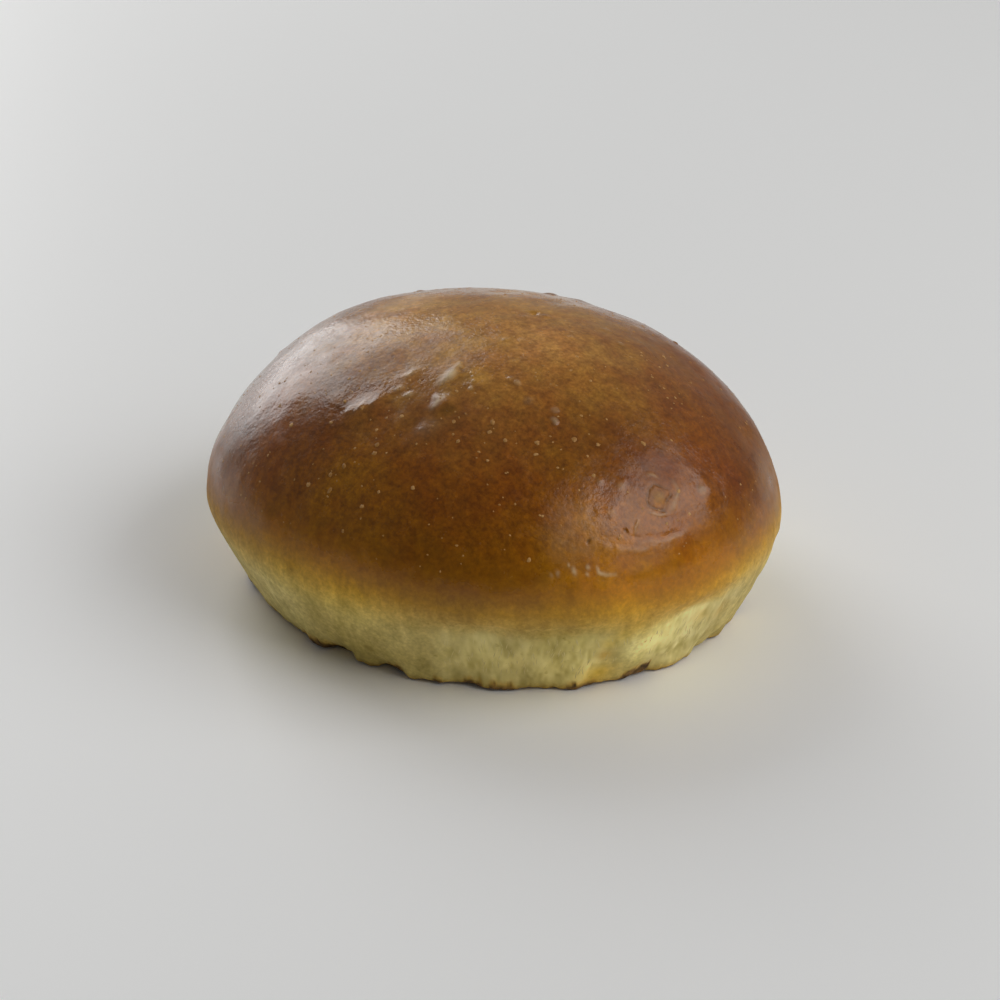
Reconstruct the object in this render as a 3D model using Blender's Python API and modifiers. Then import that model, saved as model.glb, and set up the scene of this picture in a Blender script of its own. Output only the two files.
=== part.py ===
"""Brioche bun: one solid with a domed crust, a pale side torn from its neighbours and a flat base.

Metres, +Z up. The origin is the middle of the base, and the longer way of the oval lies along X.
Azimuths run round +Z from +X, in degrees.
"""

import math

import bmesh
import bpy
from mathutils import Vector, noise

MM = 0.001

# Driving dimensions
LENGTH = 111 * MM  # along X, across the belly
WIDTH = 97.7 * MM  # along Y
HEIGHT = 52.7 * MM
BELLY_HEIGHT = 17.5 * MM  # where the bun is widest
BASE_SHARE = 0.858  # base radius over belly radius
RIM_HEIGHT = 0.9 * MM  # mean height of the base crust's edge above the flat
RIM_WIDTH = 3.0 * MM  # from the edge of the base in to the flat

# The curves of the turned profile. A power of 2 gives an ellipse
DOME_POWER = 1.945
SIDE_POWER = 1.33
BELLY_RADIUS = (LENGTH + WIDTH) / 4
BASE_RADIUS = BELLY_RADIUS * BASE_SHARE

# Points of the profile on each stretch, and steps round the bun
DOME_RINGS = 22
SIDE_RINGS = 10
STEPS = 144

# Broad unevenness of hand-rolled dough
LEAN = Vector((-0.6 * MM, -0.25 * MM))  # sideways shift of the dome's top
BASE_SHIFT = Vector((0.3 * MM, -0.1 * MM))  # and of the base
BELLY_TILT = 1.1 * MM  # rise of the belly line at the +X end, and fall at the other
PLAN_SWELL = 0.01  # share by which the plan swells at three places
PLAN_SWELL_AZIMUTH = 4.0  # one of them
LUMP_SIZE = 30 * MM
LUMP_HEIGHT = 0.8 * MM
LUMP_SHIFT = Vector((-22.5, 26.4, 12.6))  # picks the lumps' places

# Places where the dough swells or was pressed in: azimuth, distance from the middle, height, rise
SWELLS = (
    (-120.0, 46.5 * MM, 5.6 * MM, -0.6 * MM),
    (-134.0, 52.3 * MM, 16.3 * MM, 0.4 * MM),
    (-156.0, 49.3 * MM, 30.4 * MM, -0.3 * MM),
    (-176.0, 39.2 * MM, 41.4 * MM, 0.3 * MM),
    (92.0, 29.0 * MM, 45.5 * MM, -0.25 * MM),
    (42.0, 50.1 * MM, 27.4 * MM, -0.35 * MM),
)
SWELL_REACH = 11 * MM

# Blisters and creases that stand out of the crust, each with its azimuth, its distance from the middle,
# its length and width, the turn of its length from the level, and its rise
BLISTERS = (
    (-99.0, 30.0 * MM, 9.0 * MM, 3.2 * MM, 20.0, 0.6 * MM),
    (-90.5, 22.5 * MM, 6.0 * MM, 3.0 * MM, 20.0, 0.4 * MM),
    (-69.5, 19.0 * MM, 8.0 * MM, 3.0 * MM, 40.0, 0.5 * MM),
    (-68.0, 26.3 * MM, 4.0 * MM, 3.4 * MM, 0.0, 0.8 * MM),
    (-69.0, 31.2 * MM, 7.0 * MM, 3.0 * MM, 25.0, 0.4 * MM),
    (-26.5, 31.5 * MM, 3.4 * MM, 3.0 * MM, 0.0, 0.5 * MM),
    (-10.6, 47.2 * MM, 4.6 * MM, 4.0 * MM, 0.0, 0.4 * MM),
    (-21.0, 50.6 * MM, 15.0 * MM, 2.8 * MM, -8.0, 0.5 * MM),
    (-30.0, 52.0 * MM, 8.0 * MM, 2.6 * MM, 0.0, 0.4 * MM),
    (41.0, 7.5 * MM, 4.0 * MM, 3.4 * MM, 0.0, -0.5 * MM),
    (150.0, 24.0 * MM, 5.0 * MM, 3.4 * MM, 30.0, 0.5 * MM),
    (112.0, 38.0 * MM, 4.4 * MM, 3.6 * MM, 0.0, 0.5 * MM),
    (-158.0, 41.0 * MM, 6.0 * MM, 3.0 * MM, -20.0, 0.4 * MM),
    (70.0, 45.0 * MM, 9.0 * MM, 2.8 * MM, 10.0, 0.5 * MM),
)

# The line where brown crust gives way to the pale side
CRUST_LINE = 17.6 * MM
CRUST_LINE_WAVES = ((1, 0.7 * MM, 60.0), (3, 0.5 * MM, 30.0))  # waves round the bun, rise, azimuth of a crest

# Where the side was pulled from a neighbour: middle azimuth and half width of each patch
TORN_PATCHES = ((-41.0, 26.0), (-6.0, 14.0), (88.0, 30.0), (168.0, 26.0))
TEAR_SINK = 0.7 * MM  # how far a torn patch lies behind the crust above it
FLUTE_WIDTH = 5.5 * MM  # broad pulled strands down the torn side
FLUTE_LENGTH = 22 * MM
FLUTE_DEPTH = 0.9 * MM

# The ragged edge of the base crust
RAGGED_REACH = 5 * MM  # how far up the side the raggedness fades out
RAGGED_SIZE = 7 * MM
RAGGED_DEPTH = 1.5 * MM
RIM_LIFT = 0.7 * MM
# Where bits of it broke off: azimuth, half width in degrees and depth of each bite
CHIPS = ((-88.5, 6.0, 1.5 * MM), (-73.0, 5.0, 1.0 * MM), (4.5, 6.0, 1.3 * MM), (120.0, 8.0, 1.4 * MM))

# Finish of the plain solid
CRUST_COLOUR = (0.24, 0.09, 0.02, 1.0)
CRUST_ROUGHNESS = 0.42


def clear_scene():
    for obj in list(bpy.data.objects):
        bpy.data.objects.remove(obj, do_unlink=True)


def smooth_step(value):
    """0 at or below 0, 1 at or above 1, with a soft start and end."""
    share = min(max(value, 0.0), 1.0)
    return share * share * (3 - 2 * share)


def degrees_between(first, second):
    """The unsigned turn between two azimuths."""
    return abs((first - second + 180.0) % 360.0 - 180.0)


def bun_profile():
    """(radius, height) down the outer side, from the top to the middle of the base."""
    dome = HEIGHT - BELLY_HEIGHT
    points = []
    for ring in range(DOME_RINGS + 1):
        turn = math.radians(90) * ring / DOME_RINGS
        radius = BELLY_RADIUS * math.sin(turn) ** (2 / DOME_POWER)
        points.append((radius, BELLY_HEIGHT + dome * max(math.cos(turn), 0.0) ** (2 / DOME_POWER)))
    for ring in range(1, SIDE_RINGS + 1):
        share = ring / SIDE_RINGS
        radius = BELLY_RADIUS * (1 - (1 - BASE_SHARE) * share**SIDE_POWER)
        points.append((radius, BELLY_HEIGHT + (RIM_HEIGHT - BELLY_HEIGHT) * share))
    points.append((BASE_RADIUS - RIM_WIDTH / 4, RIM_HEIGHT / 4))
    points.append((BASE_RADIUS - RIM_WIDTH, 0.0))
    points.append((0.0, 0.0))
    return points


def turned_mesh():
    """The profile turned about Z by a Screw modifier, as one welded mesh."""
    curve = bpy.data.meshes.new("bun_profile")
    points = [(radius, 0.0, height) for radius, height in bun_profile()]
    curve.from_pydata(points, [(i, i + 1) for i in range(len(points) - 1)], [])
    outline = bpy.data.objects.new("bun_profile", curve)
    bpy.context.scene.collection.objects.link(outline)
    turn = outline.modifiers.new("turn", "SCREW")
    turn.steps = STEPS
    turn.render_steps = STEPS
    turn.use_merge_vertices = True
    turn.merge_threshold = 0.01 * MM
    graph = bpy.context.evaluated_depsgraph_get()
    mesh = bpy.data.meshes.new_from_object(outline.evaluated_get(graph))
    bpy.data.objects.remove(outline, do_unlink=True)
    shape = bmesh.new()
    shape.from_mesh(mesh)
    bmesh.ops.remove_doubles(shape, verts=shape.verts, dist=0.01 * MM)
    bmesh.ops.recalc_face_normals(shape, faces=shape.faces)
    shape.to_mesh(mesh)
    shape.free()
    return mesh


def crust_line(azimuth):
    """Height of the lower edge of the brown crust."""
    height = CRUST_LINE
    for waves, rise, crest in CRUST_LINE_WAVES:
        height += rise * math.cos(math.radians(waves * (azimuth - crest)))
    return height


def torn_share(azimuth):
    """1 in the middle of a torn patch, 0 on smooth side."""
    return max(
        smooth_step(1.5 * (1 - degrees_between(azimuth, middle) / half))
        for middle, half in TORN_PATCHES
    )


def side_share(azimuth, height):
    """1 on the pale side, fading to 0 at the crust line and at the base's edge."""
    below = (crust_line(azimuth) - height) / (2 * MM)
    above = (height - RIM_HEIGHT) / (2 * MM)
    return smooth_step(below) * smooth_step(above)


def lumps(point):
    """Broad soft lumps, swells and presses over the whole bun."""
    rise = LUMP_HEIGHT * noise.noise(point / LUMP_SIZE + LUMP_SHIFT)
    for azimuth, distance, height, swell in SWELLS:
        turn = math.radians(azimuth)
        middle = Vector((distance * math.cos(turn), distance * math.sin(turn), height))
        away = (point - middle).length / SWELL_REACH
        rise += swell * math.exp(-away * away)
    return rise


def blisters(point, normal):
    """The blisters and creases of the crust, none of them on the pale side."""
    rise = 0.0
    radius = math.hypot(point.x, point.y)
    azimuth = math.degrees(math.atan2(point.y, point.x))
    for middle, distance, length, width, turn, height in BLISTERS:
        round_it = math.radians((azimuth - middle + 180.0) % 360.0 - 180.0) * distance
        down_it = (distance - radius) / max(normal.z, 0.3)
        along = round_it * math.cos(math.radians(turn)) + down_it * math.sin(math.radians(turn))
        across = down_it * math.cos(math.radians(turn)) - round_it * math.sin(math.radians(turn))
        rise += height * math.exp(-2 * ((2 * along / length) ** 2 + (2 * across / width) ** 2))
    return rise


def flutes(point, azimuth):
    """The torn side: sunk a little behind the crust, with strands pulled down it."""
    place = Vector((point.x / FLUTE_WIDTH, point.y / FLUTE_WIDTH, point.z / FLUTE_LENGTH))
    strands = FLUTE_DEPTH * noise.noise(place)
    return (strands - TEAR_SINK) * torn_share(azimuth) * side_share(azimuth, point.z)


def chip(azimuth):
    """Depth of the bites where the edge of the base crust broke off."""
    return max(
        depth * smooth_step(2 * (1 - degrees_between(azimuth, middle) / half))
        for middle, half, depth in CHIPS
    )


def ragged(point, azimuth):
    """(push outward, lift) of the base crust's torn edge, fading up the side and in to the flat."""
    radius = math.hypot(point.x, point.y)
    fade = smooth_step(1 - point.z / RAGGED_REACH)
    fade *= smooth_step((radius - BASE_RADIUS + 2 * RIM_WIDTH) / RIM_WIDTH)
    edge = Vector((point.x, point.y, 0.0)) / RAGGED_SIZE
    push = RAGGED_DEPTH * noise.noise(edge) - chip(azimuth)
    lift = RIM_LIFT * (noise.noise(edge * 1.7 + Vector((9.0, 0.0, 0.0))) + chip(azimuth) / RAGGED_DEPTH)
    return push * fade, max(lift * fade, -0.5 * point.z)


def round_to_oval(mesh):
    """The round bun becomes the oval, leaning one."""
    for vertex in mesh.vertices:
        above = max(vertex.co.z - BELLY_HEIGHT, 0.0) / (HEIGHT - BELLY_HEIGHT)
        off_base = min(vertex.co.z / BELLY_HEIGHT, 1.0)
        turn = math.atan2(vertex.co.y, vertex.co.x) - math.radians(PLAN_SWELL_AZIMUTH)
        wide = (1 + PLAN_SWELL * math.cos(3 * turn)) / BELLY_RADIUS
        vertex.co.x *= wide * LENGTH / 2
        vertex.co.y *= wide * WIDTH / 2
        vertex.co.z += off_base * BELLY_TILT * vertex.co.x / (LENGTH / 2)
        vertex.co.x += above * LEAN.x + (1 - off_base) * BASE_SHIFT.x
        vertex.co.y += above * LEAN.y + (1 - off_base) * BASE_SHIFT.y
    mesh.update()


def add_relief(mesh):
    """Lumps and torn strands along the surface's normal, and the ragged edge of the base."""
    normals = [vertex.normal.copy() for vertex in mesh.vertices]
    for vertex, normal in zip(mesh.vertices, normals):
        point = vertex.co.copy()
        flat = point.z < 0.01 * MM
        azimuth = math.degrees(math.atan2(point.y, point.x))
        if not flat:
            rise = lumps(point) * smooth_step(point.z / BELLY_HEIGHT) + flutes(point, azimuth)
            if point.z > BELLY_HEIGHT:
                rise += blisters(point, normal)
            vertex.co += normal * rise
            push, lift = ragged(point, azimuth)
            outward = Vector((point.x, point.y, 0.0)).normalized()
            vertex.co += outward * push + Vector((0.0, 0.0, lift))
    mesh.update()


def stand_at_origin(mesh):
    """Fits the bun to its driving dimensions, with the middle of its base at the origin."""
    low = [min(vertex.co[axis] for vertex in mesh.vertices) for axis in range(3)]
    high = [max(vertex.co[axis] for vertex in mesh.vertices) for axis in range(3)]
    middle = Vector(((low[0] + high[0]) / 2, (low[1] + high[1]) / 2, low[2]))
    sizes = [LENGTH, WIDTH, HEIGHT]
    for vertex in mesh.vertices:
        for axis in range(3):
            share = (vertex.co[axis] - middle[axis]) / (high[axis] - low[axis])
            vertex.co[axis] = share * sizes[axis]
    mesh.update()


def crust_material():
    material = bpy.data.materials.new("baked_crust")
    material.use_nodes = True
    shader = material.node_tree.nodes["Principled BSDF"]
    shader.inputs["Base Color"].default_value = CRUST_COLOUR
    shader.inputs["Roughness"].default_value = CRUST_ROUGHNESS
    shader.inputs["Metallic"].default_value = 0.0
    return material


def build():
    clear_scene()
    parts = bpy.data.collections.new("brioche_bun")
    bpy.context.scene.collection.children.link(parts)
    mesh = turned_mesh()
    mesh.name = "bun"
    round_to_oval(mesh)
    add_relief(mesh)
    stand_at_origin(mesh)
    mesh.shade_smooth()
    mesh.set_sharp_from_angle(angle=math.radians(50))
    mesh.materials.append(crust_material())
    parts.objects.link(bpy.data.objects.new("bun", mesh))


build()
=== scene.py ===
"""Looks of the brioche bun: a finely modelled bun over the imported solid, its materials, light and camera.

Metres, +Z up. Azimuths run round +Z from +X and lifts run up from level at the middle of the belly plane,
both in degrees, so an (azimuth, lift) pair names a place on the bun. The form repeats the solid's sizes.
"""

import math
import random

import bmesh
import bpy
import numpy as np
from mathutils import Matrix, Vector, noise
from mathutils.bvhtree import BVHTree


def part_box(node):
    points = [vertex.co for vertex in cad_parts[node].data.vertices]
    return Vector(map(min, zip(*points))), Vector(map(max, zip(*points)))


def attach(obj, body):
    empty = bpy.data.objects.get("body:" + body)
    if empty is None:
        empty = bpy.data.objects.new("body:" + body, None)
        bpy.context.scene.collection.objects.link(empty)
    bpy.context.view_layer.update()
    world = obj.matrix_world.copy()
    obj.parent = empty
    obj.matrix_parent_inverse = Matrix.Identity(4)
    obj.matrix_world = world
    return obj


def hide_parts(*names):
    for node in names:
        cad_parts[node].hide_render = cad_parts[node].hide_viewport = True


MM = 0.001

# The solid's sizes
LENGTH = 111 * MM
WIDTH = 97.7 * MM
HEIGHT = 52.7 * MM
BELLY_HEIGHT = 17.5 * MM
BASE_SHARE = 0.858
RIM_HEIGHT = 0.9 * MM
RIM_WIDTH = 3.0 * MM
DOME_POWER = 1.945
SIDE_POWER = 1.33
BELLY_RADIUS = (LENGTH + WIDTH) / 4
BASE_RADIUS = BELLY_RADIUS * BASE_SHARE
LEAN = (-0.6 * MM, -0.25 * MM)
BASE_SHIFT = (0.3 * MM, -0.1 * MM)
BELLY_TILT = 1.1 * MM
PLAN_SWELL = 0.01
PLAN_SWELL_AZIMUTH = 4.0
LUMPS = (30 * MM, 1.0, -22.5, 26.4, 12.6)
LUMP_HEIGHT = 0.8 * MM
SWELLS = (  # azimuth, distance, height and rise
    (-120, 46.5, 5.6, -0.6),
    (-134, 52.3, 16.3, 0.4),
    (-156, 49.3, 30.4, -0.3),
    (-176, 39.2, 41.4, 0.3),
    (92, 29, 45.5, -0.25),
    (42, 50.1, 27.4, -0.35),
)
SWELL_REACH = 11 * MM
CRUST_LINE = 17.6 * MM
CRUST_LINE_WAVES = ((1, 0.7 * MM, 60.0), (3, 0.5 * MM, 30.0))
TEAR_SINK = 0.7 * MM
FLUTE_WIDTH = 5.5 * MM
FLUTE_LENGTH = 22 * MM
FLUTE_DEPTH = 0.9 * MM
RAGGED_REACH = 5 * MM
RAGGED_SIZE = 7 * MM
RAGGED_DEPTH = 1.5 * MM
RIM_LIFT = 0.7 * MM

# The far shoulder of the top is a little flatter than the solid's: azimuth, lift, reach in millimetres, rise
FAR_TOP_SWELLS = ((132, 53, 14, -0.7 * MM),)

# Torn patches of the side and chips of the base's edge: azimuth, half the width in degrees, share or depth
TORN_PATCHES = ((-41, 26, 1), (-6, 14, 1), (88, 30, 1), (168, 26, 1))
TORN_SHARPNESS = 1.5
CHIPS = ((-88.5, 6, 1.5), (-73, 5, 1.0), (4.5, 6, 1.3), (120, 8, 1.4))
CHIP_SHARPNESS = 2.0

# Vertices round the dome and round the side, and where the dome's rings have half as many, and so on
STEPS = 720
SIDE_STEPS = 1440
FEWEST_STEPS = 45
HALVED_WITHIN = 30 * MM
POLE_RADIUS = 0.1 * MM

# Points of the two profiles, and the distances between the rings that follow them
DOME_PROFILE_POINTS = 2000
SIDE_PROFILE_POINTS = 400
DOME_SPACING = 0.8 * MM
SIDE_SPACING = 0.84 * MM
RIM_SPACING = 0.36 * MM
RIM_FINE_ROWS = 3
BASE_FIRST_STEP = 0.8 * MM
BASE_SPACING = 3.0 * MM
LAST_BASE_RING = 1.8 * MM

# Faces are halved round features up to this wide, and halved again: how far out, in widths, and a margin
FINE_WIDTHS = (2.3 * MM, 1.0 * MM)
FINE_REACH = 0.75
FINE_MARGIN = 0.4 * MM

# Knobs of the pale side where it turns away at the right. A noise is its size, how tall it is, and its shift
KNOBBLY_AZIMUTH = 38.0
KNOBBLY_HALF = 24.0
KNOB_HEIGHT = 0.5 * MM
KNOBS = (3.0 * MM, 1.0, 41.0)

# The skin of the crust: waves of size, height and shift, and the pebbles of its pebbly patches
SKIN_FADE = 3 * MM
SKIN_WAVES = ((7.5 * MM, 0.15 * MM, 2.0), (3.6 * MM, 0.07 * MM, 5.0))
PEBBLE_HEIGHT = 0.035 * MM
PEBBLES = (1.9 * MM, 1.0, 9.0)
PEBBLY_FROM = 7 * MM
PEBBLY_FADE = 9 * MM
PEBBLY_AZIMUTH = -85.0
PEBBLY_SWING = 0.35
PEBBLY_MOST = 1.3

# The torn crumb: its upper edge, how crisply it starts, its strands, the pores between them and the lip above
TORN_DROP = 2.4 * MM
TORN_WANDER = 2.0 * MM
TORN_EDGE = (4.6 * MM, 2.0, 13.0)
TORN_FADE = 3.4 * MM
CRISPER_BY = 2.0 * MM
CRISP_AZIMUTH = -12.0
CRISP_HALF = 13.0
CLOSED_CRUMB = 0.14
COARSE_HEIGHT = 0.2 * MM
COARSE_STRANDS = (1.7 * MM, 3.4, 3.0)
FINE_HEIGHT = 0.07 * MM
FINE_STRANDS = (0.8 * MM, 4.0, 7.0)
PORE_DEPTH = 0.24 * MM
PORES = (1.5 * MM, 2.4, 21.0)
PORE_LEVEL = 0.53
PORE_FADE = 0.26
PORES_HIGH_UP = 0.35
PORES_REACH = 12 * MM
LIP_HEIGHT = 0.09 * MM
LIP_WIDTH = 0.8 * MM

# Where the side fades at the crust line and at the rim, where the crust's relief starts below the belly, and
# how high the flat base reaches
SIDE_FADE = 2 * MM
DOME_OVERLAP = 2 * MM
FLAT_UP_TO = 0.01 * MM

# Notches of the base's edge, and its lifted stretches
NOTCH_WAVES = ((1.8 * MM, 0.5 * MM), (0.9 * MM, 0.3 * MM))
NOTCH_REACH = 2.5 * MM
RAISED = (RAGGED_SIZE / 1.7, 1.0, 9.0)

# Ridges of the crust, and grooves where the rise is a fall: width and rise in millimetres, how pale it is
# painted there, as rubbed glaze and painted highlight, or with a minus sign how much painted shade it gets,
# and the places that each runs through
RIDGES = (
    (5.4, 0.66, 0.05, (-98, 36.2), (-96, 39.6), (-93.4, 42.2), (-92.6, 46)),
    (2.6, 0.14, 0, (-93.2, 40.6), (-90.4, 43.4)),
    (3, 0.18, 0.08, (-92.1, 52.5), (-89.6, 53.2), (-86.8, 56.8)),
    (2.8, 0.16, 0.05, (-86.6, 64.1), (-84.1, 66.9)),
    (1.8, 0.16, 0.08, (-91.3, 76.3), (-88.4, 78.7)),
    (4.4, 0.46, 0.1, (-73, 36.8), (-69.4, 40), (-65, 42.2)),
    (1.4, 0.12, 0.1, (-85.6, 46.7), (-82.6, 48.8), (-79, 49.3)),
    (2.4, 0.42, 0.8, (-72.4, 55.2), (-70.4, 57), (-69.2, 58.6), (-69, 60.4)),
    (1.5, 0.2, 0.5, (-69, 60.4), (-68, 62.6), (-66.2, 63.2)),
    (1.5, 0.06, 0.5, (-68.2, 50.8), (-68.9, 49), (-70, 47.4), (-70.4, 46)),
    (2, 0.18, 0.3, (-92, 53.2), (-90.4, 54.6), (-88.6, 56.7)),
    (1.3, 0.12, 0.34, (-83.6, 47.8), (-82, 48.6), (-80.5, 49)),
    (1.5, 0.14, 0.3, (-90.2, 48.6), (-87.4, 50.4)),
    (1, -0.11, -0.42, (-12.8, 22.2), (-11, 22.8), (-10.1, 22.2), (-8.4, 21.2), (-8.4, 20.1),
     (-10, 19), (-11.4, 17.8), (-12.9, 18.3), (-14.2, 19.2), (-14.2, 20.3), (-12.8, 22.2)),
    (1.2, 0.12, 0.3, (-6.2, 22.1), (-6.5, 20.2), (-7.8, 18.6), (-10.3, 17.2)),
    (0.9, 0.12, 0.26, (-11.2, 25), (-10.1, 24.6), (-9.3, 23.7)),
    (1, 0.12, 0.26, (-14.6, 17.9), (-12.9, 17), (-11.1, 17)),
    (0.7, 0.1, 0.22, (-16.9, 17.9), (-18.6, 16.2), (-19.2, 15)),
    (1.4, 0.13, 0.12, (-27.6, 14.6), (-23.8, 12.8), (-19.1, 12.1), (-14.5, 11.4), (-10.1, 11.6)),
    (1.2, -0.11, 0, (-21.7, 15.5), (-18.4, 14.2), (-14.1, 13.3), (-10.1, 13.4)),
    (1.2, 0.08, 0.14, (-20, 13.4), (-14.3, 12.4), (-9.6, 12.6), (-6.4, 13.8)),
    (0.8, 0.05, 0.48, (-33.2, 11.7), (-33, 10.9)),
    (1.1, 0.07, 0.7, (-32.3, 10.8), (-32.2, 9.6)),
    (0.9, 0.07, 0.66, (-29.6, 10.8), (-29.5, 10)),
    (0.8, 0.05, 0.46, (-30, 9.6), (-29.8, 8.9)),
    (0.9, 0.07, 0.58, (-27.9, 10.4), (-27.7, 9.4), (-26.2, 8.7), (-24.6, 8.4)),
    (1, 0.04, 0.36, (-35.6, 10.6), (-35.4, 9.6)),
    (0.9, 0.04, 0.32, (-36.8, 9.9), (-36.5, 9.1)),
    (3, 0.2, 0.05, (-132, 43.4), (-129.6, 45.8), (-127.4, 47.8)),
    (3.6, -0.7, 0, (-142, 10.6), (-148, 10.4), (-156, 10.2)),
    (4.2, 0.4, 0.1, (96, 38), (100, 42), (101, 45)),
    (2.8, 0.3, 0.06, (128, 29), (133, 32), (140, 32.5)),
    (2, 0.22, 0.1, (70, 21), (73, 24), (78, 24.5)),
    (1.2, 0.26, 0.22, (154, 38), (158, 40), (158.5, 43), (162, 44)),
    (2.2, 0.24, 0.06, (-168, 21), (-164, 23.5), (-163, 26.5)),
    (1.2, 0.15, 0.3, (116, 17), (122, 15.5), (128, 16)),
)

# Bubbles under the skin and, with a fall in place of a rise, pits: azimuth, lift, width and rise in
# millimetres, and how pale it is painted there, as rubbed glaze and painted highlight, or with a minus sign
# how much painted shade it gets. Wide ones with no rise are a painted sheen on the glaze
BUBBLES = (
    (-66.6, 47.3, 5.8, 0.6, 0), (-70.8, 49.6, 2.4, 0.2, 0.18), (-63.6, 46.2, 3.6, -0.05, -0.55),
    (-66, 61.1, 0.9, 0.12, 0.2), (-59.3, 59.3, 0.9, 0.14, 0.26), (-58.2, 57.8, 0.7, 0.1, 0.22),
    (-57.5, 56.2, 0.9, 0.13, 0.24), (-57.7, 53.6, 1.1, 0.14, 0.26), (-61.9, 56.4, 3.2, -0.16, -0.2),
    (-37, 54.6, 1.7, 0.24, 0.22), (-39.1, 56.3, 1.9, 0.16, 0.1), (-34.4, 48.3, 2.6, 0.1, 0.08),
    (-26.8, 44.5, 2.1, 0.26, 0.14), (-28.1, 41.6, 1.9, 0.24, 0.3), (54.8, 77.7, 2.3, -0.5, 0),
    (36, 80.6, 2, 0.18, 0.14), (45.9, 74.8, 2.4, 0.14, 0), (-35.2, 73.9, 1.6, 0.16, 0.1),
    (-20.8, 72.6, 1.8, 0.15, 0.1), (14.6, 65.1, 1.6, 0.14, 0.1), (28.7, 53.6, 1.8, 0.14, 0.1),
    (39.6, 58, 2.8, 0.12, 0.12), (-11.4, 20.3, 2.8, 0.05, 0.16), (1.2, 17.8, 6.4, 0.5, 0),
    (-0.9, 18.5, 2.6, 0.05, 0.3), (-22.4, 19.6, 2.8, 0.12, 0.12), (-26.4, 20.6, 2.2, -0.1, 0),
    (-18.4, 24.6, 2.4, 0.12, 0.12), (-23.2, 25.9, 1.8, 0.12, 0.14), (-20.7, 16.1, 1.5, -0.18, -0.45),
    (-28.7, 15.2, 1.2, -0.24, -0.55), (-31, 17, 15, 0, 0.1), (-178, 57, 17, 0, 0.16),
    (112, 40, 4.2, 0.55, 0.08), (146, 24, 3, 0.4, 0.1), (84, 32, 2.4, 0.3, 0.1), (-176, 33, 2.6, -0.4, 0),
    (62, 34, 1.8, 0.24, 0.14),
)
BUBBLE_POWER = 1.5

# How far ridges and bubbles stray, at most this share of their width, how uneven they are, in full up to this
# many millimetres wide, and how much of a ridge's height its ends keep
WARP_SIZE = 2.6 * MM
WARP = 0.5 * MM
WARP_SHARE = 0.3
UNEVEN_WAVES = ((1.5 * MM, 0.6, 4.0, 2.0), (0.7 * MM, 0.5, 8.0))
UNEVEN_UP_TO = 1.5
RIDGE_ENDS = 0.3

# Places of the pale pinhead blisters that stand out
DOTS = (
    (-104.3, 39.7), (-124.4, 28.7), (-113.8, 28), (-102.3, 33.7), (-83.3, 33.4), (-82.7, 31.3),
    (-89.3, 26.3), (-92, 23.5), (-90.1, 20.4), (-96.8, 19.6), (-61.9, 43.1), (-80.9, 42.1),
    (-59, 37.9), (-48.8, 43.3), (-49.6, 40.6), (-44.9, 38.2), (-35.8, 37), (-25.1, 36.4),
    (-19.4, 34), (-7.1, 31.3), (36, 43), (30.1, 41.8), (-68.4, 25.7), (-76.8, 23.3),
    (-79.9, 19.5), (-24, 27.7), (0.1, 59.2), (-41.2, 12.8),
)

# Number of all blisters, least and greatest radius of the drawn ones and of the ones that stand out, sine of
# the lowest lift, and the drifts that they lie in
DOT_COUNT = 560
DOT_RADII = (0.15 * MM, 0.31 * MM)
BIG_DOT_RADII = (0.34 * MM, 0.5 * MM)
LOWEST_DOT = 0.16
DRIFTS = 2.2
DRIFT_LIFT = 18
DOT_SHARE = 0.55
DRIFT_SHARE = 1.1

# A blister: its rings by share of the radius and of the height, its tip, and least and greatest shares
BLISTER_SIDES = 9
BLISTER_RINGS = ((1.0, -0.2), (0.84, 0.1), (0.48, 0.36))
BLISTER_TIP = 0.46
BLISTER_STRETCH = (1.0, 1.5)
BLISTER_PROUD = (0.35, 0.75)
BLISTER_WOBBLE = (0.75, 1.25)
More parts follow.
